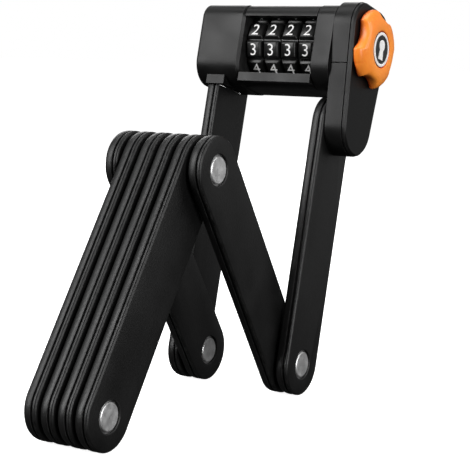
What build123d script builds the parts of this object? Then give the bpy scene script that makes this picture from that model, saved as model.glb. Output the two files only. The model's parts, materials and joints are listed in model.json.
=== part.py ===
from build123d import *
import os
from math import cos, hypot, radians, sin

# Folding bike lock: eight steel links in plastic sleeves, riveted in a zigzag, and a barrel
# head with four code dials, an arm that carries the first rivet and a knob that moves the bolt.
# Everything is drawn about the top pivot of the folded links (the T axis), in millimetres:
# X runs along all the pivots towards the knob, Y away from the dials' side, Z up.
# At the end the whole object is moved so that its base centre is at the origin.

# Links
PIVOT_TO_PIVOT = 100.0
LINK_COUNT = 8
LAYER_PITCH = 7.55
LINK_WIDTH = 25.5
LINK_THICK = 6.0
BAR_WIDTH = 20.5
BAR_THICK = 4.0
FACE_CHAMFER = 0.55
BACK_RADIUS = 0.9
GROOVE_X = 0.75
GROOVE_WIDTH = 0.7
GROOVE_DEPTH = 0.8

# Pose in which the lock stands
FOLD_HALF_ANGLE = 34.0
HEAD_LEAN = 14.0

# Rivets and washers
RIVET_RADIUS = 3.5
RIVET_HEAD_RADIUS = 5.15
RIVET_HEAD_THICK = 0.9
RIVET_RECESS_RADIUS = 6.0
RIVET_FIT = 0.05
WASHER_RADIUS = 7.5

# Last link's tongue
SHOULDER_RISE = 12.9
SHOULDER_BEND = 5.0
SHOULDER_SLOPE = 0.28
SHOULDER_WALL = 0.8
TONGUE_WIDTH = 12.0
TONGUE_END_RISE = 38.6
TONGUE_HOLE_RADIUS = 3.3

# Barrel head: heights are above the arm's pivot, measured along the first link
AXIS_RISE = 32.9
BARREL_MID_RISE = 30.75
BARREL_HALF_DEPTH = 17.0
BARREL_HALF_HEIGHT = 17.55
BARREL_TOP_RADIUS = 6.5
BARREL_BASE_RADIUS = 10.5
COVER_WALL = 1.5
COVER_GAP = 0.05
CAP_X = (-61.0, -39.5)
WINDOW_X = (-39.4, -5.1)
COLLAR_X = (-5.0, 3.3)
CORE_X = (-59.5, 3.3)
CAP_END_RADIUS = 1.4
CAP_BEVEL = 1.2
FRAME_INSET = 0.25
LIP_X = (-2.2, 6.4)
LIP_Y = (-15.0, -8.0)
LIP_RISE = (13.05, 16.8)
WINDOW_TOP_RISE = 42.3
WINDOW_BASE_RISE = 18.2
SILL_RISE = 14.6
SILL_FRONT = -15.2
SLOT_CLEARANCE = 0.4

# Dials
DIAL_COUNT = 4
DIAL_PITCH = 8.35
DIAL_WIDTH = 8.15
DIAL_RADIUS = 14.2
DIAL_BORE = 9.3
FIRST_DIAL_X = -35.2
PAD_NOTCH_WIDTH = 1.5
PAD_NOTCH_DEPTH = 0.55
CHAMBER_RADIUS = 14.45
CHAMBER_X = (-39.55, -5.6)
GATE_HALF_WIDTH = 1.2
CLUTCH_HALF_WIDTH = 2.6
CLUTCH_BORE = 3.15
DETENT_ANGLE = 18.0
DETENT_BALL_RADIUS = 1.0
DETENT_SPRING_LENGTH = 1.5
DETENT_SPRING_BORE = 0.5
DIGITS = 10

# Arm
ARM_X = (3.5, 10.9)
ARM_PLATE_X = (4.9, 8.9)
ARM_COVER_X = (11.2, 12.8)
ARM_COVER_WAY_X = (0.0, 20.0)
ARM_FOOT_RADIUS = 12.4
ARM_HEAD_RADIUS = 11.0
ARM_HEAD_SPREAD = 6.2
ARM_HEAD_RISE = 39.8
ARM_SEAM_RISE = 23.4
ARM_SEAM_WIDTH = 0.5
ARM_INSET = 2.4
ARM_COVER_INSET = 0.3
ARM_COVER_BEVEL = 0.8

# Knob and bolt
KNOB_X = (13.1, 18.7)
KNOB_RADIUS = 16.3
KNOB_LOBES = 4
KNOB_TURN = 35.0
KNOB_NOTCH_DEPTH = 3.4
KNOB_NOTCH_RADIUS = 10.0
KNOB_FRONT_ROUND = 3.2
KNOB_BACK_BEVEL = 0.5
SHAFT_END_X = 0.2
BADGE_RADIUS = 7.5
BADGE_DEPTH = 0.9
BADGE_PROUD = 0.3
SCREW_RADIUS = 1.25
SCREW_LENGTH = 6.9
SCREW_DEPTH = 1.6
BOLT_RADIUS = 3.0
BOLT_TRAVEL = 8.0
BOLT_X = (-49.95, -2.0)
FIN_HEIGHT = 5.3
FIN_HALF_WIDTH = 1.0
FIN_HALF_DEPTH = 0.9
FIN_WAY_X = (-40.8, -4.0)
CAM_X = (-1.4, 0.15)
GATE_REACH = 5.7
SHAFT_RADIUS = 4.4

LAYER_X = [-LAYER_PITCH * i for i in range(LINK_COUNT)]
AXIS_TILT = radians(FOLD_HALF_ANGLE)
FOOT_Z = -PIVOT_TO_PIVOT * cos(AXIS_TILT)
T_AXIS = (0.0, 0.0)
B_AXIS = (-PIVOT_TO_PIVOT * sin(AXIS_TILT), FOOT_Z)
Q_AXIS = (PIVOT_TO_PIVOT * sin(AXIS_TILT), FOOT_Z)
HEAD_AXIS = (
    Q_AXIS[0] + PIVOT_TO_PIVOT * sin(radians(HEAD_LEAN)),
    Q_AXIS[1] + PIVOT_TO_PIVOT * cos(radians(HEAD_LEAN)),
)
PIVOT_AXES = [HEAD_AXIS, Q_AXIS, T_AXIS, B_AXIS, T_AXIS, B_AXIS, T_AXIS, Q_AXIS]
TONGUE_LAYER_X = LAYER_X[-1]


def drum(radius, x_from, x_to, y=0.0, z=0.0):
    """A round bar along X between two X values."""
    middle = (x_from + x_to) / 2
    return Pos(middle, y, z) * Rot(Y=90) * Cylinder(radius, x_to - x_from)


def ring(outer, inner, x_from, x_to, y=0.0, z=0.0):
    return drum(outer, x_from, x_to, y, z) - drum(inner, x_from - 1, x_to + 1, y, z)


def block(x_span, y_span, z_span):
    size = [high - low for low, high in (x_span, y_span, z_span)]
    centre = [(low + high) / 2 for low, high in (x_span, y_span, z_span)]
    return Pos(*centre) * Box(*size)


def along_x(outline, x_from, x_to):
    """Extrude an outline whose local X, Y are the object's Y, Z, from one X value to another."""
    return extrude(Plane.YZ.offset(x_from) * outline, x_to - x_from)


def hull_of(circles):
    """The outline round a set of circles, each given as (y, z, radius)."""
    outline = Sketch() + [Pos(y, z) * Circle(radius) for y, z, radius in circles]
    return make_hull(outline.edges())


def edges_in_plane(shape, x):
    """The edges that lie in the plane at this X."""
    return [
        edge for edge in shape.edges()
        if all(abs(v.X - x) < 1e-4 for v in edge.vertices())
        and abs(edge.center().X - x) < 1e-4
    ]


def lean(shape, degrees, axis, x=0.0):
    """Stand a shape, drawn upright on its lower pivot, on an axis with its top leaning to +Y."""
    return Pos(x, *axis) * Rot(X=-degrees) * shape


# ---------------------------------------------------------------- links

def pivot_rise(pivot):
    """Odd pivots are at the foot of their links, even ones at the top."""
    return 0.0 if pivot % 2 else PIVOT_TO_PIVOT


def link_outline(width):
    return hull_of([(0, 0, width / 2), (0, PIVOT_TO_PIVOT, width / 2)])


def last_link_outline(width, top):
    """The last link: round at its foot, square at its shoulder, which rises at the back."""
    half = width / 2
    back_top = top + (half - SHOULDER_BEND) * SHOULDER_SLOPE
    shoulder = Polygon((-half, 0), (half, 0), (half, back_top), (SHOULDER_BEND, top), (-half, top),
                       align=None)
    return Circle(half) + shoulder


def link_bar(number):
    half = BAR_THICK / 2
    if number < LINK_COUNT:
        bar = along_x(link_outline(BAR_WIDTH), -half, half)
    else:
        shoulder = PIVOT_TO_PIVOT + SHOULDER_RISE - SHOULDER_WALL
        outline = last_link_outline(BAR_WIDTH, shoulder)
        tongue_top = PIVOT_TO_PIVOT + TONGUE_END_RISE
        outline += Pos(0, tongue_top / 2) * Rectangle(TONGUE_WIDTH, tongue_top)
        bar = along_x(outline, -half, half)
        tip = [e for e in bar.edges() if abs(e.center().Z - tongue_top) < 1e-3
               and e.length < BAR_THICK + 1e-3]
        bar = fillet(tip, TONGUE_WIDTH * 0.3)
        hole_z = PIVOT_TO_PIVOT + AXIS_RISE
        bar -= drum(TONGUE_HOLE_RADIUS, -BAR_THICK, BAR_THICK, 0, hole_z)
    for pivot in (number - 1, number):
        if pivot < LINK_COUNT:
            rise = pivot_rise(pivot)
            bar -= drum(RIVET_RADIUS + RIVET_FIT, -BAR_THICK, BAR_THICK, 0, rise)
    return bar


def groove_ring(outline, inner):
    band = along_x(outline, GROOVE_X, GROOVE_X + GROOVE_WIDTH)
    return band - along_x(inner, GROOVE_X - 1, GROOVE_X + GROOVE_WIDTH + 1)


def link_sleeve(number):
    half = LINK_THICK / 2
    last = number == LINK_COUNT
    top = PIVOT_TO_PIVOT + SHOULDER_RISE
    bar_span = (-BAR_THICK / 2, BAR_THICK / 2)

    def outline(inset):
        width = LINK_WIDTH - 2 * inset
        return last_link_outline(width, top) if last else link_outline(width)

    def rim_edges(x):
        return [e for e in edges_in_plane(body, x) if not last or e.center().Z < top - 0.5]

    body = along_x(outline(0), -half, half)
    body = chamfer(rim_edges(half), FACE_CHAMFER)
    body = fillet(rim_edges(-half), BACK_RADIUS)
    body -= groove_ring(outline(0), outline(GROOVE_DEPTH))
    if last:
        pocket = along_x(last_link_outline(BAR_WIDTH, top - SHOULDER_WALL), *bar_span)
        pocket += block(bar_span, (-TONGUE_WIDTH / 2, TONGUE_WIDTH / 2), (top - 2, top + 2))
    else:
        pocket = along_x(link_outline(BAR_WIDTH), *bar_span)
    body -= pocket
    for pivot in (number - 1, number):
        if pivot == LINK_COUNT:
            continue
        rise = pivot_rise(pivot)
        outward = 1 if pivot == number else -1
        recess_x = sorted((0.0, outward * (half + 1)))
        shaft_x = sorted((0.0, -outward * (half + 1)))
        body -= drum(RIVET_RECESS_RADIUS, *recess_x, 0, rise)
        body -= drum(RIVET_RADIUS + 0.4, *shaft_x, 0, rise)
    return body


def rivet(pivot):
    """A rivet from the outer face of one link's bar to the far face of the next one's."""
    front = LAYER_X[pivot - 1] + BAR_THICK / 2 if pivot else ARM_PLATE_X[1]
    back = LAYER_X[pivot] - BAR_THICK / 2
    y, z = PIVOT_AXES[pivot]
    head_front = front + RIVET_FIT + RIVET_HEAD_THICK
    head_back = back - RIVET_FIT - RIVET_HEAD_THICK
    body = drum(RIVET_RADIUS, back - RIVET_FIT, front + RIVET_FIT, y, z)
    body += drum(RIVET_HEAD_RADIUS, front + RIVET_FIT, head_front, y, z)
    body += drum(RIVET_HEAD_RADIUS, head_back, back - RIVET_FIT, y, z)
    return chamfer(edges_in_plane(body, head_front) + edges_in_plane(body, head_back), 0.3)


def washer(pivot):
    """A nylon washer that keeps two neighbouring links, or the arm and its link, apart."""
    front = LAYER_X[pivot - 1] - LINK_THICK / 2 if pivot else ARM_PLATE_X[0]
    back = LAYER_X[pivot] + LINK_THICK / 2
    y, z = PIVOT_AXES[pivot]
    return ring(WASHER_RADIUS, RIVET_RADIUS + 0.1, back + RIVET_FIT, front, y, z)


# ---------------------------------------------------------------- barrel (drawn on the arm's pivot)

def barrel_section(inset=0.0):
    """The barrel's outline, seen along X: flat front and back, tight top and wide base corners."""
    circles = []
    for side in (-1, 1):
        for end, radius in ((1, BARREL_TOP_RADIUS), (-1, BARREL_BASE_RADIUS)):
            y = side * (BARREL_HALF_DEPTH - radius)
            z = BARREL_MID_RISE + end * (BARREL_HALF_HEIGHT - radius)
            circles.append((y, z, radius - inset))
    return hull_of(circles)


def slot_cut():
    """The way that the last link's tongue swings in: shut in front, open below and behind."""
    half = LINK_THICK / 2 + SLOT_CLEARANCE
    x_span = (TONGUE_LAYER_X - half, TONGUE_LAYER_X + half)
    front_y = -TONGUE_WIDTH / 2 - SLOT_CLEARANCE
    reach = TONGUE_END_RISE + SLOT_CLEARANCE
    tongue_way = drum(reach, *x_span) & block(x_span, (front_y, reach), (0, reach))
    half_link = LINK_WIDTH / 2
    back_rise = SHOULDER_RISE + (half_link - SHOULDER_BEND) * SHOULDER_SLOPE
    front_way = drum(hypot(SHOULDER_RISE, half_link) + SLOT_CLEARANCE, *x_span)
    back_reach = hypot(back_rise, half_link) + SLOT_CLEARANCE
    back_way = drum(back_reach, *x_span) & block(x_span, (0, back_reach), (-back_reach, back_reach))
    return tongue_way + front_way + back_way


def chamber_cut():
    """The room that the dials turn in, open to the front behind the window."""
    dials = drum(CHAMBER_RADIUS, *CHAMBER_X, 0, AXIS_RISE)
    z_span = (WINDOW_BASE_RISE - 0.5, WINDOW_TOP_RISE + 0.5)
    return dials + block(CHAMBER_X, (-2 * BARREL_HALF_DEPTH, 0), z_span)


def barrel_core():
    core = along_x(barrel_section(COVER_WALL + COVER_GAP), *CORE_X)
    core -= chamber_cut()
    core -= slot_cut()
    core -= drum(BOLT_RADIUS + RIVET_FIT, CORE_X[0] + 1.2, COLLAR_X[1] + 1, 0, AXIS_RISE)
    core -= drum(GATE_REACH, *FIN_WAY_X, 0, AXIS_RISE)
    core -= detent_holes()
    return core - drum(SHAFT_RADIUS + 0.3, CAM_X[0] - 0.1, COLLAR_X[1] + 1, 0, AXIS_RISE)


def left_cap():
    x_from, x_to = CAP_X
    cap = along_x(barrel_section(), x_from, x_to)
    cap = fillet(edges_in_plane(cap, x_from), CAP_END_RADIUS)
    cap = chamfer(edges_in_plane(cap, x_to), CAP_BEVEL)
    cap += block([TONGUE_LAYER_X + x for x in LIP_X], LIP_Y, LIP_RISE)
    cap -= along_x(barrel_section(COVER_WALL), CORE_X[0], x_to + 1)
    return cap - slot_cut()


def window_frame():
    """The middle cover, open in front of the dials, with a flat sill under the opening."""
    x_span = (WINDOW_X[0] - 1, WINDOW_X[1] + 1)
    frame = along_x(barrel_section(FRAME_INSET), *WINDOW_X)
    frame += block(WINDOW_X, (SILL_FRONT, SILL_FRONT + 6), (SILL_RISE, WINDOW_BASE_RISE + 1))
    frame -= along_x(barrel_section(COVER_WALL), *x_span)
    frame -= drum(CHAMBER_RADIUS, *x_span, 0, AXIS_RISE)
    return frame - block(x_span, (-2 * BARREL_HALF_DEPTH, 0), (WINDOW_BASE_RISE, WINDOW_TOP_RISE))


def collar():
    x_from, x_to = COLLAR_X
    body = along_x(barrel_section(), x_from, x_to)
    body = chamfer(edges_in_plane(body, x_from), 0.5)
    body -= along_x(barrel_section(COVER_WALL), x_from - 1, x_to + 1)
    return body


# ---------------------------------------------------------------- dials and bolt

def dial_x(number):
    return FIRST_DIAL_X + DIAL_PITCH * number


def dial(number):
    """A code wheel: a ring with ten flat pads, one for each digit, and an inner gear bore."""
    x = dial_x(number)
    half = DIAL_WIDTH / 2
    body = ring(DIAL_RADIUS, DIAL_BORE, x - half, x + half, 0, AXIS_RISE)
    pad_flat = DIAL_RADIUS * cos(radians(180 / DIGITS)) + 0.25
    for step in range(DIGITS):
        notch = Pos(x, 0, AXIS_RISE) * Rot(X=step * 360 / DIGITS + 180 / DIGITS)
        body -= notch * Pos(0, 0, DIAL_RADIUS) * Box(DIAL_WIDTH + 1, PAD_NOTCH_WIDTH, 2 * PAD_NOTCH_DEPTH)
        flat = Pos(x, 0, AXIS_RISE) * Rot(X=step * 360 / DIGITS)
        body -= flat * Pos(0, 0, pad_flat + 1) * Box(DIAL_WIDTH + 1, DIAL_RADIUS, 2)
    return body


def clutch(number):
    """The ring inside a dial that holds its code, with a gate that lets the bolt's fin through."""
    x = dial_x(number)
    x_span = (x - CLUTCH_HALF_WIDTH, x + CLUTCH_HALF_WIDTH)
    body = ring(DIAL_BORE - 0.05, CLUTCH_BORE, *x_span, 0, AXIS_RISE)
    return body - block(x_span, (-GATE_HALF_WIDTH, GATE_HALF_WIDTH), (AXIS_RISE, AXIS_RISE + GATE_REACH))


def detent_spot(number):
    """Where a dial's detent sits: under the dial, between two of its pads."""
    return Pos(dial_x(number), 0, AXIS_RISE) * Rot(X=180 + DETENT_ANGLE)


def detent_holes():
    deep = BARREL_HALF_HEIGHT + 3
    holes = [detent_spot(n) * Pos(0, 0, deep / 2) * Cylinder(DETENT_BALL_RADIUS + 0.05, deep)
             for n in range(DIAL_COUNT)]
    return Part() + holes


def detent_balls():
    rise = DIAL_RADIUS + DETENT_BALL_RADIUS + 0.05
    balls = [detent_spot(n) * Pos(0, 0, rise) * Sphere(DETENT_BALL_RADIUS)
             for n in range(DIAL_COUNT)]
    return Part() + balls


def detent_springs():
    foot = DIAL_RADIUS + 2 * DETENT_BALL_RADIUS + 0.1
    length = DETENT_SPRING_LENGTH
    tube = Cylinder(DETENT_BALL_RADIUS - 0.1, length) - Cylinder(DETENT_SPRING_BORE, length)
    springs = [detent_spot(n) * Pos(0, 0, foot + length / 2) * tube for n in range(DIAL_COUNT)]
    return Part() + springs


def lock_bolt():
    """The bolt: a rod, drawn back from the tongue, with a fin beside each dial's clutch."""
    rod = drum(BOLT_RADIUS, *BOLT_X, 0, AXIS_RISE)
    rod = chamfer(edges_in_plane(rod, BOLT_X[0]), 0.6)
    for number in range(DIAL_COUNT):
        x = dial_x(number) + DIAL_PITCH / 2
        x_span = (x - FIN_HALF_WIDTH, x + FIN_HALF_WIDTH)
        rod += block(x_span, (-FIN_HALF_DEPTH, FIN_HALF_DEPTH), (AXIS_RISE, AXIS_RISE + FIN_HEIGHT))
    return rod


# ---------------------------------------------------------------- arm and knob

def arm_outline(inset=0.0):
    head = ARM_HEAD_RADIUS - inset
    return hull_of([
        (0, 0, ARM_FOOT_RADIUS - inset),
        (-ARM_HEAD_SPREAD, ARM_HEAD_RISE, head),
        (ARM_HEAD_SPREAD, ARM_HEAD_RISE, head),
    ])


def arm_rim(below_seam):
    """The rim round the arm, in two pieces that meet at a seam."""
    rim = along_x(arm_outline(), *ARM_X) - along_x(arm_outline(ARM_INSET), ARM_X[0] - 1, ARM_X[1] + 1)
    half = ARM_SEAM_WIDTH / 2
    low, high = -2 * ARM_FOOT_RADIUS, 2 * ARM_HEAD_RISE
    z_span = (low, ARM_SEAM_RISE - half) if below_seam else (ARM_SEAM_RISE + half, high)
    return rim & block((ARM_X[0] - 1, ARM_X[1] + 1), (low, -low), z_span)


def arm_plate():
    plate = along_x(arm_outline(ARM_INSET + 0.05), *ARM_PLATE_X)
    plate -= drum(RIVET_RADIUS + RIVET_FIT, *ARM_COVER_WAY_X)
    return plate - drum(SHAFT_RADIUS + RIVET_FIT, *ARM_COVER_WAY_X, 0, AXIS_RISE)


def arm_cover():
    cover = along_x(arm_outline(ARM_COVER_INSET), *ARM_COVER_X)
    cover = chamfer(edges_in_plane(cover, ARM_COVER_X[1]), ARM_COVER_BEVEL)
    cover += along_x(arm_outline(ARM_INSET + 0.05), ARM_PLATE_X[1], ARM_COVER_X[0])
    cover -= drum(RIVET_HEAD_RADIUS + 0.6, ARM_PLATE_X[1] - 1, ARM_PLATE_X[1] + 1.5)
    return cover - drum(SHAFT_RADIUS + 0.3, *ARM_COVER_WAY_X, 0, AXIS_RISE)


def knob():
    x_from, x_to = KNOB_X
    body = drum(KNOB_RADIUS, x_from, x_to, 0, AXIS_RISE)
    body = fillet(edges_in_plane(body, x_to), KNOB_FRONT_ROUND)
    body = chamfer(edges_in_plane(body, x_from), KNOB_BACK_BEVEL)
    reach = KNOB_RADIUS + KNOB_NOTCH_RADIUS - KNOB_NOTCH_DEPTH
    for lobe in range(KNOB_LOBES):
        spot = Pos(0, 0, AXIS_RISE) * Rot(X=(lobe + 0.5) * 360 / KNOB_LOBES + KNOB_TURN)
        body -= spot * drum(KNOB_NOTCH_RADIUS, x_from - 1, x_to + 1, 0, reach)
    body += drum(SHAFT_RADIUS, SHAFT_END_X, x_from + 1, 0, AXIS_RISE)
    body -= drum(BADGE_RADIUS + 0.05, x_to - BADGE_DEPTH - 0.3, x_to + 1, 0, AXIS_RISE)
    return body - drum(SCREW_RADIUS + 0.05, x_to - SCREW_DEPTH - SCREW_LENGTH - 0.5, x_to, 0, AXIS_RISE)


def knob_badge():
    x_to = KNOB_X[1] + BADGE_PROUD
    badge = drum(BADGE_RADIUS, KNOB_X[1] - BADGE_DEPTH, x_to, 0, AXIS_RISE)
    return chamfer(edges_in_plane(badge, x_to), 0.2)


def knob_screw():
    x_to = KNOB_X[1] - SCREW_DEPTH
    return drum(SCREW_RADIUS, x_to - SCREW_LENGTH, x_to, 0, AXIS_RISE)


def bolt_cam():
    """The drive disc on the knob's shaft that pushes the bolt along."""
    return drum(SHAFT_RADIUS, *CAM_X, 0, AXIS_RISE)


def build():
    nodes = {}
    poses = [HEAD_LEAN, -FOLD_HALF_ANGLE] + [FOLD_HALF_ANGLE] * 4 + [-FOLD_HALF_ANGLE, HEAD_LEAN]
    feet = [Q_AXIS, Q_AXIS] + [B_AXIS] * 4 + [Q_AXIS, Q_AXIS]
    for number in range(1, LINK_COUNT + 1):
        stance = (poses[number - 1], feet[number - 1], LAYER_X[number - 1])
        nodes[f"link_{number}_bar"] = lean(link_bar(number), *stance)
        nodes[f"link_{number}_sleeve"] = lean(link_sleeve(number), *stance)
    for pivot in range(LINK_COUNT):
        nodes[f"rivet_{pivot}"] = rivet(pivot)
        nodes[f"washer_{pivot}"] = washer(pivot)

    head = {
        "barrel_core": barrel_core(), "left_cap": left_cap(), "window_frame": window_frame(),
        "collar": collar(), "arm_plate": arm_plate(), "arm_rim_lower": arm_rim(True),
        "arm_rim_upper": arm_rim(False), "arm_cover": arm_cover(), "lock_bolt": lock_bolt(),
        "bolt_cam": bolt_cam(), "knob": knob(), "knob_badge": knob_badge(),
        "knob_screw": knob_screw(), "detent_balls": detent_balls(),
        "detent_springs": detent_springs(),
    }
    for number in range(DIAL_COUNT):
        head[f"dial_{number + 1}"] = dial(number)
        head[f"dial_{number + 1}_clutch"] = clutch(number)
    for name, shape in head.items():
        nodes[name] = lean(shape, HEAD_LEAN, HEAD_AXIS)
    return nodes


nodes = build()
box = Compound(children=[Compound([s for s in shape.solids()]) for shape in nodes.values()]).bounding_box()
base = ((box.min.X + box.max.X) / 2, (box.min.Y + box.max.Y) / 2, box.min.Z)
home = Pos(-base[0], -base[1], -base[2])

os.makedirs("parts", exist_ok=True)
for name, shape in nodes.items():
    solids = (home * shape).solids()
    export_step(solids[0] if len(solids) == 1 else Compound(solids), f"parts/{name}.step")

print("base centre at", [round(v, 4) for v in base])
for name, (y, z) in {"head": HEAD_AXIS, "Q": Q_AXIS, "T": T_AXIS, "B": B_AXIS}.items():
    print(name, "axis y, z:", round(y - base[1], 4), round(z - base[2], 4))
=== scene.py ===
import json
import math

import bmesh
import bpy
from mathutils import Matrix, Vector

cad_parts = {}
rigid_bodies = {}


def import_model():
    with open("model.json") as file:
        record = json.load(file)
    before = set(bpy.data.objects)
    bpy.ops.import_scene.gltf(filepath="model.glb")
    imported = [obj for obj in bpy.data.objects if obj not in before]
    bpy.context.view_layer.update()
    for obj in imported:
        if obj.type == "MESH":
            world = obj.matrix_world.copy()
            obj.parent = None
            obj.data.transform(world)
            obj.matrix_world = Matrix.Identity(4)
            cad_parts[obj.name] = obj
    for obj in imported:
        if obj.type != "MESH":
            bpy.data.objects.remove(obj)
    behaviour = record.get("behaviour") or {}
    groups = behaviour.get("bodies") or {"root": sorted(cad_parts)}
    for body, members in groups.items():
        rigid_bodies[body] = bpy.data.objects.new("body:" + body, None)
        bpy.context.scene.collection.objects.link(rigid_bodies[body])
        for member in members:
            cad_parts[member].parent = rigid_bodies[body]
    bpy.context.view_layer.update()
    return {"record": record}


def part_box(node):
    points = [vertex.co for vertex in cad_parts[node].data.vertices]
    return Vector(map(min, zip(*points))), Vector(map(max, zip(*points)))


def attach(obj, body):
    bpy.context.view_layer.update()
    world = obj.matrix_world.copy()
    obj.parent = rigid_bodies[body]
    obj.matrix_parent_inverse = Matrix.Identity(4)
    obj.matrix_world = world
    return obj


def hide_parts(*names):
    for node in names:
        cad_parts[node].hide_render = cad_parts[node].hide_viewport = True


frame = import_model()

MM = 0.001
LINKS = 8
DIALS = 4
PIVOT_TO_PIVOT = 100.0
HEAD_LEAN = 14.0
AXIS_RISE = 32.9


def centre_of(node):
    """The middle of a CAD node's box, in metres."""
    low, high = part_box(node)
    return (Vector(low) + Vector(high)) / 2


# ---------------------------------------------------------------- materials

class Graph:
    """A node material, and short ways to add to it."""

    def __init__(self, name):
        self.material = bpy.data.materials.new(name)
        self.material.use_nodes = True
        self.tree = self.material.node_tree
        self.surface = self.tree.nodes["Principled BSDF"]
        self.where = self.add("ShaderNodeTexCoord").outputs["Object"]

    def add(self, kind, settings=(), **values):
        node = self.tree.nodes.new(kind)
        for name, value in dict(settings).items():
            setattr(node, name, value)
        for name, value in values.items():
            self.feed(node, name.replace("_", " "), value)
        return node

    def feed(self, node, socket, value):
        if isinstance(value, bpy.types.NodeSocket):
            self.tree.links.new(value, node.inputs[socket])
        else:
            node.inputs[socket].default_value = value

    def noise(self, scale, detail=3.0, stretch=None):
        where = self.where
        if stretch:
            where = self.add("ShaderNodeMapping", Vector=where, Scale=stretch).outputs[0]
        node = self.add("ShaderNodeTexNoise", Vector=where, Scale=scale, Detail=detail)
        return node.outputs["Fac"]

    def spread(self, value, low, high, new_low=0.0, new_high=1.0):
        node = self.add("ShaderNodeMapRange", Value=value, From_Min=low, From_Max=high,
                        To_Min=new_low, To_Max=new_high)
        return node.outputs["Result"]

    def math(self, operation, first, second=0.0):
        node = self.add("ShaderNodeMath", {"operation": operation})
        self.feed(node, 0, first)
        self.feed(node, 1, second)
        return node.outputs[0]

    def blend(self, share, first, second):
        node = self.add("ShaderNodeMix", {"data_type": "RGBA"})
        self.feed(node, 0, share)
        self.feed(node, 6, first)
        self.feed(node, 7, second)
        return node.outputs[2]

    def edges(self, radius):
        """1 at the edges of the shape, 0 on its faces."""
        rounded = self.add("ShaderNodeBevel", {"samples": 4}, Radius=radius).outputs[0]
        plain = self.add("ShaderNodeNewGeometry").outputs["Normal"]
        node = self.add("ShaderNodeVectorMath", {"operation": "DOT_PRODUCT"})
        self.feed(node, 0, rounded)
        self.feed(node, 1, plain)
        return self.spread(node.outputs["Value"], 0.995, 0.86)

    def set(self, **values):
        for name, value in values.items():
            self.feed(self.surface, name.replace("_", " "), value)

    def bump(self, height, distance, strength=1.0):
        node = self.add("ShaderNodeBump", Height=height, Distance=distance, Strength=strength)
        self.set(Normal=node.outputs[0])


def grey(level, warmth=0.0):
    return (level * (1 + warmth), level, level * (1 - warmth), 1.0)


def moulded(name, dark, light, rough, grain, grain_depth, wear=None, specular=0.5, painted_shade_colour=None):
    """Moulded plastic: a fine spark-eroded grain, cloudy colour, and edges rubbed lighter; given a
    shade colour, it also gets painted shade, darkening towards that colour in crevices and
    undersides found by ambient occlusion.
    """
    g = Graph(name)
    cloud = g.spread(g.noise(60.0, 4.0), 0.35, 0.65)
    fine = g.noise(grain, 2.0)
    speck = g.spread(fine, 0.3, 0.7)
    colour = g.blend(cloud, dark, light)
    colour = g.blend(g.math("MULTIPLY", speck, 0.35), colour, [c * 1.5 for c in light[:3]] + [1.0])
    if wear:
        scuffs = g.spread(g.noise(400.0, 5.0), 0.35, 0.6)
        rub = g.math("MULTIPLY", g.edges(0.0004), g.math("MULTIPLY", scuffs, 0.8))
        colour = g.blend(rub, colour, wear)
    # painted shade: the colour is darkened towards the shade colour wherever ambient occlusion
    # finds a crevice or underside
    if painted_shade_colour:
        painted_shade_mask = g.add("ShaderNodeAmbientOcclusion", {"samples": 8}, Distance=0.006).outputs["AO"]
        colour = g.blend(g.spread(painted_shade_mask, 0.95, 0.35), colour, painted_shade_colour)
    g.set(Base_Color=colour, Roughness=g.spread(cloud, 0, 1, rough - 0.05, rough + 0.06),
          Specular_IOR_Level=specular)
    g.bump(fine, grain_depth)
    return g.material


def turned_metal(name, dark, light, rough, metallic=1.0, stretch=(1, 1, 1)):
    """Bare metal with fine tool marks, smears and a few pits."""
    g = Graph(name)
    smear = g.spread(g.noise(350.0, 5.0, stretch), 0.3, 0.7)
    fine = g.noise(2500.0, 3.0, stretch)
    pits = g.spread(g.noise(1500.0, 2.0), 0.62, 0.72)
    colour = g.blend(smear, dark, light)
    colour = g.blend(g.math("MULTIPLY", pits, 0.6), colour, [c * 0.35 for c in dark[:3]] + [1.0])
    g.set(Base_Color=colour, Metallic=metallic,
          Roughness=g.spread(smear, 0, 1, rough - 0.08, rough + 0.1))
    g.bump(fine, 0.00002)
    return g.material


MATERIALS = {
    "link_plastic": moulded("link_plastic", grey(0.003), grey(0.006), 0.43, 1500.0, 0.00007,
                            wear=grey(0.06), specular=0.4),
    "head_plastic": moulded("head_plastic", grey(0.003), grey(0.006), 0.37, 2600.0, 0.00002,
                            wear=grey(0.05), specular=0.2),
    "dial_plastic": moulded("dial_plastic", grey(0.004), grey(0.007), 0.3, 3000.0, 0.00001,
                            wear=grey(0.06), specular=0.3),
    "washer_nylon": moulded("washer_nylon", grey(0.010), grey(0.016), 0.5, 2500.0, 0.00001),
    # the knob's plastic carries painted shade: its crevices and undersides are painted a deep red
    "knob_plastic": moulded("knob_plastic", (1.0, 0.24, 0.024, 1), (1.0, 0.31, 0.036, 1), 0.36,
                            1800.0, 0.000008, wear=(1.0, 0.42, 0.1, 1), specular=0.5,
                            painted_shade_colour=(0.75, 0.045, 0.004, 1)),
    "badge_plastic": moulded("badge_plastic", grey(0.008), grey(0.014), 0.3, 2500.0, 0.000006),
    "core_zinc": turned_metal("core_zinc", grey(0.012), grey(0.03), 0.45, metallic=0.3),
    "rivet_steel": turned_metal("rivet_steel", grey(0.6), grey(0.85), 0.4, metallic=0.75),
    "bar_steel": turned_metal("bar_steel", grey(0.4), grey(0.55), 0.35, stretch=(1, 1, 0.1)),
    "bolt_steel": turned_metal("bolt_steel", grey(0.45), grey(0.6), 0.28, stretch=(0.1, 1, 1)),
    "clutch_brass": turned_metal("clutch_brass", (0.6, 0.4, 0.14, 1), (0.75, 0.52, 0.2, 1), 0.35),
    "digit_paint": moulded("digit_paint", grey(0.78), grey(0.88, 0.01), 0.4, 2500.0, 0.00001),
}

for subpart in frame["record"]["subparts"]:
    node = bpy.data.objects[subpart["node"]]
    for slot in node.material_slots:
        slot.material = MATERIALS[subpart["material_slot"]]

# ---------------------------------------------------------------- the head's own axes

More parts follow.
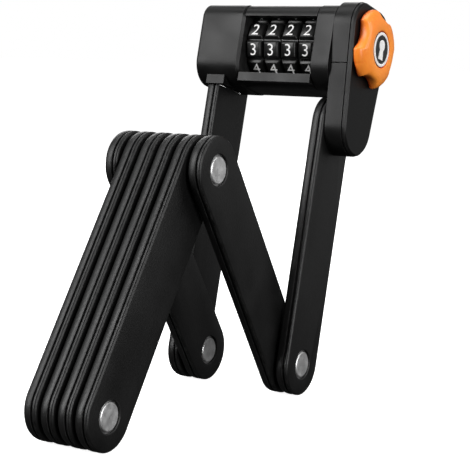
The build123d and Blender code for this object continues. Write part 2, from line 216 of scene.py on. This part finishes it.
pivot_axis = centre_of("rivet_0")
first_layer = centre_of("link_1_sleeve")
HEAD = (Matrix.Translation((first_layer.x, pivot_axis.y, pivot_axis.z))
        @ Matrix.Rotation(math.radians(-HEAD_LEAN), 4, "X") @ Matrix.Scale(MM, 4))


def piece(name, mesh, material, body, smooth_angle=35.0):
    """A new piece of the object from a mesh in metres."""
    obj = bpy.data.objects.new(name, mesh)
    bpy.context.scene.collection.objects.link(obj)
    mesh.materials.clear()
    mesh.materials.append(MATERIALS[material])
    mesh.shade_smooth()
    mesh.set_sharp_from_angle(angle=math.radians(smooth_angle))
    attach(obj, body)
    return obj


def mesh_from(name, points, faces, to_row):
    """A closed mesh from points in millimetres and their frame."""
    bm = bmesh.new()
    made = [bm.verts.new(to_row @ Vector(p)) for p in points]
    for face in faces:
        bm.faces.new([made[i] for i in face])
    bmesh.ops.recalc_face_normals(bm, faces=bm.faces)
    mesh = bpy.data.meshes.new(name)
    bm.to_mesh(mesh)
    bm.free()
    return mesh


# ---------------------------------------------------------------- shapes

def lathe(profile, steps, closed=False, radius_at=None):
    """Rings of points about the X axis, from tuples that start with x and radius.

    A radius of 0 is a tip. radius_at(entry, angle) gives the radius of a shape that isn't round.
    """
    points, rings = [], []
    for entry in profile:
        x, radius = entry[:2]
        if radius == 0:
            rings.append([len(points)] * steps)
            points.append((x, 0, 0))
            continue
        rings.append(range(len(points), len(points) + steps))
        for step in range(steps):
            angle = step * math.tau / steps
            r = radius_at(entry, angle) if radius_at else radius
            points.append((x, r * math.cos(angle), r * math.sin(angle)))
    return points, skin(rings, steps, closed)


def skin(rings, steps, closed=False):
    """Faces between neighbouring rings of the same number of points."""
    faces = []
    pairs = list(zip(rings, rings[1:]))
    if closed:
        pairs.append((rings[-1], rings[0]))
    for lower, upper in pairs:
        for i in range(steps):
            j = (i + 1) % steps
            corners = [lower[i], lower[j], upper[j], upper[i]]
            faces.append([c for k, c in enumerate(corners) if c not in corners[:k]])
    return [face for face in faces if len(face) > 2]


def cut(mesh, cutter):
    """The mesh with the cutter's space taken out of it."""
    thing = bpy.data.objects.new("whole", mesh)
    tool = bpy.data.objects.new("tool", cutter)
    for obj in (thing, tool):
        bpy.context.scene.collection.objects.link(obj)
    modifier = thing.modifiers.new("cut", "BOOLEAN")
    modifier.operation, modifier.solver, modifier.object = "DIFFERENCE", "EXACT", tool
    seen = thing.evaluated_get(bpy.context.evaluated_depsgraph_get())
    result = bpy.data.meshes.new_from_object(seen)
    for obj in (thing, tool):
        bpy.data.objects.remove(obj)
    return result


# ---------------------------------------------------------------- links

LINK_RADIUS = 12.75
BAR_RADIUS = 10.25
BAR_HALF_THICK = 2.0
SHOULDER_RISE = 12.9
SHOULDER_BEND = 5.0
SHOULDER_SLOPE = 0.28
SHOULDER_WALL = 0.8
TONGUE_HALF_WIDTH = 6.0
RECESS_RADIUS = 6.0
SHAFT_HOLE_RADIUS = 3.9
ROUND_STEPS = 48
SIDE_STEPS = 10
# (x, how far inside the outline), from the front face round the edge to the back face
SLEEVE_EDGE = [
    (3.0, 0.72), (2.96, 0.6), (2.55, 0.1), (2.47, 0.05), (2.4, 0.12), (2.32, 0.3), (2.2, 0.3),
    (2.15, 0.1), (2.05, 0.02), (1.75, 0.0), (1.5, 0.05), (1.42, 0.2), (1.38, 0.85), (0.5, 0.85),
    (0.46, 0.25), (0.36, 0.08), (0.0, 0.0), (-0.7, -0.0), (-1.4, 0.07), (-2.0, 0.22),
    (-2.45, 0.45), (-2.75, 0.75), (-2.93, 1.05), (-3.0, 1.4),
]


def shoulder_slope(y):
    """How much higher the last link's shoulder is at its back, to meet the barrel's round base."""
    return max(y - SHOULDER_BEND, 0.0) * SHOULDER_SLOPE


def link_ring(number, x, inset, radius=LINK_RADIUS):
    """Points round a link's outline; the last link has a square shoulder in place of its top."""
    r = radius - inset
    ring = []
    for step in range(ROUND_STEPS + 1):
        angle = math.pi + step * math.pi / ROUND_STEPS
        ring.append((x, r * math.cos(angle), r * math.sin(angle)))
    last = number == LINKS
    top = PIVOT_TO_PIVOT + (SHOULDER_RISE - SHOULDER_WALL * (radius < LINK_RADIUS) if last else 0)
    for step in range(1, SIDE_STEPS):
        ring.append((x, r, (top + last * shoulder_slope(r)) * step / SIDE_STEPS))
    for step in range(ROUND_STEPS + 1):
        angle = step * math.pi / ROUND_STEPS
        y = r * math.cos(angle)
        ring.append((x, y, top + (shoulder_slope(y) if last else r * math.sin(angle))))
    for step in range(1, SIDE_STEPS):
        ring.append((x, -r, top * (1 - step / SIDE_STEPS)))
    return ring


def link_solid(number, edge, radius=LINK_RADIUS):
    """Points and faces of a closed link shape, from (x, inset) pairs."""
    points, rings = [], []
    for x, inset in edge:
        ring = link_ring(number, x, inset, radius)
        rings.append(range(len(points), len(points) + len(ring)))
        points += ring
    steps = len(rings[0])
    return points, skin(rings, steps) + [list(rings[0]), list(rings[-1])]


def link_frame(number):
    """The frame of one link: its lower pivot, in the middle of its layer, with Z along the link."""
    odd = number % 2
    foot = centre_of(f"rivet_{number if odd else number - 1}")
    layer = centre_of(f"link_{number}_sleeve").x
    lean = math.radians(HEAD_LEAN)
    if number < LINKS:
        head = centre_of(f"rivet_{number - 1 if odd else number}")
        lean = math.atan2(head.y - foot.y, head.z - foot.z)
    return (Matrix.Translation((layer, foot.y, foot.z)) @ Matrix.Rotation(-lean, 4, "X")
            @ Matrix.Scale(MM, 4))


def round_cutter(profile, rise, to_row):
    """A turned cutter about a link's pivot."""
    points, faces = lathe(profile, 64)
    return mesh_from("cutter", [(x, y, z + rise) for x, y, z in points], faces, to_row)


def make_link(number, body):
    """A link's plastic cover, hollow for its bar, with a recess round each rivet's head."""
    to_row = link_frame(number)
    mesh = mesh_from(f"link_{number}_cover", *link_solid(number, SLEEVE_EDGE), to_row)
    bar_edge = [(BAR_HALF_THICK, 0), (-BAR_HALF_THICK, 0)]
    mesh = cut(mesh, mesh_from("pocket", *link_solid(number, bar_edge, BAR_RADIUS), to_row))
    if number == LINKS:
        top = PIVOT_TO_PIVOT + SHOULDER_RISE
        corners = [(x, y, z) for x in (-BAR_HALF_THICK, BAR_HALF_THICK)
                   for y in (-TONGUE_HALF_WIDTH, TONGUE_HALF_WIDTH) for z in (top - 1.5, top + 2)]
        sides = [(0, 1, 3, 2), (4, 5, 7, 6), (0, 1, 5, 4), (2, 3, 7, 6), (0, 2, 6, 4), (1, 3, 7, 5)]
        mesh = cut(mesh, mesh_from("mouth", corners, sides, to_row))
    for pivot in (number - 1, number):
        if pivot == LINKS:
            continue
        rise = 0.0 if pivot % 2 else PIVOT_TO_PIVOT
        side = 1 if pivot == number else -1
        wide = RECESS_RADIUS + 0.3
        recess = [(0.3 * side, 0), (0.3 * side, RECESS_RADIUS), (2.72 * side, RECESS_RADIUS),
                  (3.02 * side, wide), (4.0 * side, wide), (4.0 * side, 0)]
        shaft = [(-0.3 * side, 0), (-0.3 * side, SHAFT_HOLE_RADIUS),
                 (-4.0 * side, SHAFT_HOLE_RADIUS), (-4.0 * side, 0)]
        for profile in (recess, shaft):
            mesh = cut(mesh, round_cutter(profile, rise, to_row))
    cover = piece(f"link_{number}_cover", mesh, "link_plastic", body, 28.0)
    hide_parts(f"link_{number}_sleeve")


LINK_BODIES = {1: "link_1", 2: "link_2", 3: "stack", 4: "link_4", 5: "link_5", 6: "link_6",
               7: "link_7", 8: "link_8"}
for number, body in LINK_BODIES.items():
    make_link(number, body)

# ---------------------------------------------------------------- dials

DIAL_PITCH = 8.35
FIRST_DIAL_X = -35.2
DIGITS = 10
PAD_RISE = 13.85
PAD_STEP = math.tau / DIGITS
PAD_CORNER = 0.45
DIGIT_HEIGHT = 5.0
# (x, radius)
DRUM_EDGE = [(-4.05, 9.3), (-4.05, 12.2), (-3.85, 12.5), (3.85, 12.5), (4.05, 12.2), (4.05, 9.3)]
# (rise above the axis, half width, half height)
PAD_LEVELS = [(11.9, 3.75, 3.7), (12.75, 3.7, 3.68), (13.45, 3.25, 3.2), (13.75, 3.02, 3.0),
              (PAD_RISE, 2.85, 2.8)]


def pad_direction(angle):
    """Outward and upward directions of a pad at an angle above the front."""
    outward = Vector((0, -math.cos(angle), math.sin(angle)))
    upward = Vector((0, math.sin(angle), math.cos(angle)))
    return outward, upward


def dial_mesh(number, x_middle):
    """A drum with ten raised pads, each a low block with sloping sides, and a bore."""
    points, faces = lathe(DRUM_EDGE, 80, closed=True)
    for k in range(DIGITS):
        outward, upward = pad_direction(PAD_STEP * (k + 0.5))
        rings = []
        for rise, half_x, half_up in PAD_LEVELS:
            ring = []
            for sx, sy in ((1, 1), (-1, 1), (-1, -1), (1, -1)):
                for turn in range(4):
                    bend = math.atan2(sy, sx) - math.pi / 4 + turn * math.pi / 6
                    across = sx * (half_x - PAD_CORNER) + PAD_CORNER * math.cos(bend)
                    along = sy * (half_up - PAD_CORNER) + PAD_CORNER * math.sin(bend)
                    ring.append(len(points))
                    points.append(tuple(Vector((across, 0, 0)) + outward * rise + upward * along))
            rings.append(ring)
        faces += skin(rings, 16)
        faces.append(rings[0][::-1])
        faces.append(rings[-1])
    moved = [(x + x_middle, y, z + AXIS_RISE) for x, y, z in points]
    return mesh_from(f"dial_{number}_wheel", moved, faces, HEAD)


def digit_mesh(digit, height):
    """A numeral as a flat raised mesh, centred, in millimetres."""
    curve = bpy.data.curves.new(f"numeral_{digit}", "FONT")
    curve.body = str(digit)
    curve.align_x = "CENTER"
    curve.size = 1.0
    curve.extrude = 0.012
    curve.offset = -0.004
    curve.resolution_u = 5
    obj = bpy.data.objects.new("numeral", curve)
    bpy.context.scene.collection.objects.link(obj)
    bpy.context.view_layer.update()
    mesh = bpy.data.meshes.new_from_object(obj.evaluated_get(bpy.context.evaluated_depsgraph_get()))
    bpy.data.objects.remove(obj)
    spots = [v.co.copy() for v in mesh.vertices]
    low = Vector([min(s[i] for s in spots) for i in range(3)])
    high = Vector([max(s[i] for s in spots) for i in range(3)])
    scale = height / (high.y - low.y)
    middle = (low + high) / 2
    mesh.transform(Matrix.Diagonal((scale, scale, scale, 1)) @ Matrix.Translation(-middle))
    return mesh


def dial_digits(number, x_middle, numerals):
    """A dial's ten numerals, each on its pad, with 2 and 3 in the window."""
    bm = bmesh.new()
    for k in range(DIGITS):
        angle = PAD_STEP * (2.5 - k)
        outward, upward = pad_direction(angle)
        spot = Vector((x_middle, 0, AXIS_RISE)) + outward * (PAD_RISE + 0.03)
        turn = Matrix((Vector((1, 0, 0)), upward, outward)).transposed().to_4x4()
        copy = numerals[k].copy()
        copy.transform(HEAD @ Matrix.Translation(spot) @ turn)
        bm.from_mesh(copy)
    mesh = bpy.data.meshes.new(f"dial_{number}_digits")
    bm.to_mesh(mesh)
    bm.free()
    return mesh


numerals = [digit_mesh(digit, DIGIT_HEIGHT) for digit in range(DIGITS)]
for number in range(1, DIALS + 1):
    x_middle = FIRST_DIAL_X + DIAL_PITCH * (number - 1)
    wheel = piece(f"dial_{number}_wheel", dial_mesh(number, x_middle), "dial_plastic",
                  f"dial_{number}")
    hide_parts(f"dial_{number}")
    piece(f"dial_{number}_digits", dial_digits(number, x_middle, numerals), "digit_paint",
          f"dial_{number}")

# ---------------------------------------------------------------- knob and badge

KNOB_RADIUS = 16.3
KNOB_LOBES = 4
KNOB_TURN = 35.0
SCALLOP_RADIUS = 10.0
SCALLOP_DEPTH = 3.6
SCALLOP_SOFTNESS = 0.13
KNOB_BORE = 4.45
# (x, radius, how much of the scallop shows)
KNOB_EDGE = [
    (13.1, KNOB_BORE, 0), (13.1, 11.5, 0.2), (13.1, 15.3, 1), (13.2, 15.85, 1), (13.5, 16.2, 1),
    (14.1, 16.3, 1), (14.9, 16.2, 0.95), (15.7, 15.88, 0.85), (16.4, 15.35, 0.7),
    (17.0, 14.65, 0.52), (17.5, 13.85, 0.35), (17.9, 12.95, 0.2), (18.2, 11.95, 0.08),
    (18.4, 10.95, 0), (18.48, 9.95, 0), (18.46, 9.0, 0), (18.38, 8.3, 0), (18.28, 7.85, 0),
    (18.1, 7.6, 0), (17.4, 7.5, 0), (17.4, KNOB_BORE, 0),
]
# (x, radius)
SHAFT_EDGE = [(0.2, 0), (0.2, 4.1), (0.5, 4.4), (13.3, 4.4), (17.6, 4.4), (17.6, 0)]
BADGE_FRONT = 18.12
DISC_EDGE = [(17.45, 0), (17.45, 7.2), (BADGE_FRONT - 0.15, 7.2), (BADGE_FRONT, 7.05),
             (BADGE_FRONT - 0.05, 6.0), (BADGE_FRONT - 0.12, 0)]
RING_EDGE = [(BADGE_FRONT - 0.1, 5.9), (BADGE_FRONT + 0.15, 5.9), (BADGE_FRONT + 0.22, 6.0),
             (BADGE_FRONT + 0.26, 6.4), (BADGE_FRONT + 0.2, 6.95), (BADGE_FRONT + 0.1, 7.1),
             (BADGE_FRONT - 0.1, 7.1)]
KEYHOLE_RADIUS = 2.4
KEYHOLE_RISE = 1.6
KEYHOLE_STEPS = 32
KEYHOLE_FOOT = [(-2.0, -4.2), (2.0, -4.2)]


def scallop(angle):
    """How far a notch cuts in at this angle, with the corners between notches rounded off."""
    pitch = math.tau / KNOB_LOBES
    phi = ((angle - math.radians(KNOB_TURN)) / pitch % 1.0 - 0.5) * pitch
    reach = KNOB_RADIUS + SCALLOP_RADIUS - SCALLOP_DEPTH
    inside = SCALLOP_RADIUS**2 - (reach * math.sin(phi)) ** 2
    depth = KNOB_RADIUS - (reach * math.cos(phi) - math.sqrt(max(inside, 0.0)))
    return SCALLOP_SOFTNESS * math.log1p(math.exp(depth / SCALLOP_SOFTNESS))


def turned(name, profile, steps, **shape):
    """A mesh turned about the dials' axis."""
    points, faces = lathe(profile, steps, **shape)
    return mesh_from(name, [(x, y, z + AXIS_RISE) for x, y, z in points], faces, HEAD)


def make_knob():
    mesh = turned("knob_grip", KNOB_EDGE, 240, closed=True,
                  radius_at=lambda entry, angle: entry[1] - entry[2] * scallop(angle))
    grip = piece("knob_grip", mesh, "knob_plastic", "knob", 50.0)
    mesh = turned("knob_shaft", SHAFT_EDGE, 48)
    piece("knob_shaft", mesh, "knob_plastic", "knob")
    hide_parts("knob")


def make_badge():
    """A dark disc with a pale ring and a plain keyhole sign."""
    disc = piece("badge_disc", turned("badge_disc", DISC_EDGE, 72), "badge_plastic", "knob")
    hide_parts("knob_badge")
    ring = turned("badge_ring", RING_EDGE, 96, closed=True)
    piece("badge_ring", ring, "digit_paint", "knob")
    outline = []
    for step in range(KEYHOLE_STEPS + 1):
        angle = math.radians(-55 + step * 290 / KEYHOLE_STEPS)
        outline.append((KEYHOLE_RADIUS * math.cos(angle),
                        KEYHOLE_RISE + KEYHOLE_RADIUS * math.sin(angle)))
    outline += KEYHOLE_FOOT
    count = len(outline)
    levels = (BADGE_FRONT - 0.12, BADGE_FRONT + 0.2)
    points = [(x, y, AXIS_RISE + z) for x in levels for y, z in outline]
    faces = [list(range(count)), list(range(count, 2 * count))]
    faces += skin([range(count), range(count, 2 * count)], count)
    mesh = mesh_from("badge_keyhole", points, faces, HEAD)
    piece("badge_keyhole", mesh, "digit_paint", "knob")


make_knob()
make_badge()

# ---------------------------------------------------------------- floor, light, camera

def make_floor():
    bpy.ops.mesh.primitive_plane_add(size=30.0, location=(0, 0, -0.0002))
    floor = bpy.context.object
    floor.name = "floor"
    g = Graph("floor_paper")
    tone = g.spread(g.noise(3.0), 0.3, 0.7)
    g.set(Base_Color=g.blend(tone, (0.86, 0.86, 0.86, 1), (0.9, 0.9, 0.9, 1)), Roughness=0.7)
    g.set(Emission_Color=(1, 1, 1, 1), Emission_Strength=0.87)
    floor.data.materials.append(g.material)
    floor.visible_glossy = False
    floor.visible_diffuse = False


def area_light(name, place, target, size, power):
    light = bpy.data.lights.new(name, "AREA")
    light.shape = "RECTANGLE"
    light.size, light.size_y = size
    light.energy = power
    obj = bpy.data.objects.new(name, light)
    bpy.context.scene.collection.objects.link(obj)
    obj.location = place
    obj.rotation_mode = "QUATERNION"
    obj.rotation_quaternion = (Vector(target) - Vector(place)).to_track_quat("-Z", "Y")
    obj.visible_camera = False


make_floor()
area_light("key_left", (-0.62, -0.85, 0.62), (0, 0, 0.07), (0.45, 1.0), 13.0)
area_light("top", (-0.1, 0.15, 1.0), (0, 0, 0.08), (0.9, 0.5), 4.0)
area_light("rim_right", (1.0, 0.25, 0.6), (0, 0, 0.08), (0.5, 0.7), 4.5)
area_light("card_right", (0.75, 1.1, 0.25), (0, 0, 0.08), (1.5, 1.0), 0.9)
area_light("edge_strip", (0.95, -0.52, 0.3), (0, 0, 0.08), (0.22, 0.8), 7.0)
area_light("back_fill", (-0.8, 0.9, 0.45), (0, 0, 0.08), (0.8, 0.8), 6.0)

world = bpy.data.worlds.new("studio")
bpy.context.scene.world = world
world.use_nodes = True
sky = world.node_tree


def sky_node(kind, **values):
    node = sky.nodes.new(kind)
    for name, value in values.items():
        node.inputs[name.replace("_", " ")].default_value = value
    return node


backdrop = sky_node("ShaderNodeBackground", Color=(1, 1, 1, 1), Strength=1.0)
room = sky.nodes["Background"]
room.inputs["Color"].default_value = (1, 1, 1, 1)
direction = sky_node("ShaderNodeTexCoord")
height = sky_node("ShaderNodeSeparateXYZ")
brightness = sky_node("ShaderNodeMapRange", From_Min=-0.15, From_Max=0.5, To_Min=0.03, To_Max=0.2)
choice = sky_node("ShaderNodeMixShader")
ray = sky_node("ShaderNodeLightPath")
sky.links.new(direction.outputs["Generated"], height.inputs[0])
sky.links.new(height.outputs["Z"], brightness.inputs["Value"])
sky.links.new(brightness.outputs["Result"], room.inputs["Strength"])
sky.links.new(ray.outputs["Is Camera Ray"], choice.inputs[0])
sky.links.new(room.outputs[0], choice.inputs[1])
sky.links.new(backdrop.outputs[0], choice.inputs[2])
sky.links.new(choice.outputs[0], sky.nodes["World Output"].inputs["Surface"])
bpy.context.scene.view_settings.view_transform = "Standard"

CAMERA_PLACE = (0.28123, -0.44402, 0.13822)
CAMERA_AZIMUTH = 31.196
CAMERA_DIP = 7.580
CAMERA_ROLL = 1.365
CAMERA_LENS = 103.72

camera = bpy.data.objects.new("camera", bpy.data.cameras.new("camera"))
bpy.context.scene.collection.objects.link(camera)
bpy.context.scene.camera = camera
camera.data.lens = CAMERA_LENS
camera.data.sensor_width = 36.0
camera.data.clip_start = 0.01
around, dip = math.radians(CAMERA_AZIMUTH), math.radians(CAMERA_DIP)
level = Vector((-math.sin(around), math.cos(around), 0))
ahead = level * math.cos(dip) - Vector((0, 0, math.sin(dip)))
level_right = ahead.cross(Vector((0, 0, 1))).normalized()
level_up = level_right.cross(ahead)
roll = math.radians(CAMERA_ROLL)
right = level_right * math.cos(roll) + level_up * math.sin(roll)
up = level_up * math.cos(roll) - level_right * math.sin(roll)
facing = Matrix((right, up, -ahead)).transposed().to_4x4()
camera.matrix_world = Matrix.Translation(CAMERA_PLACE) @ facing

bpy.context.view_layer.update()
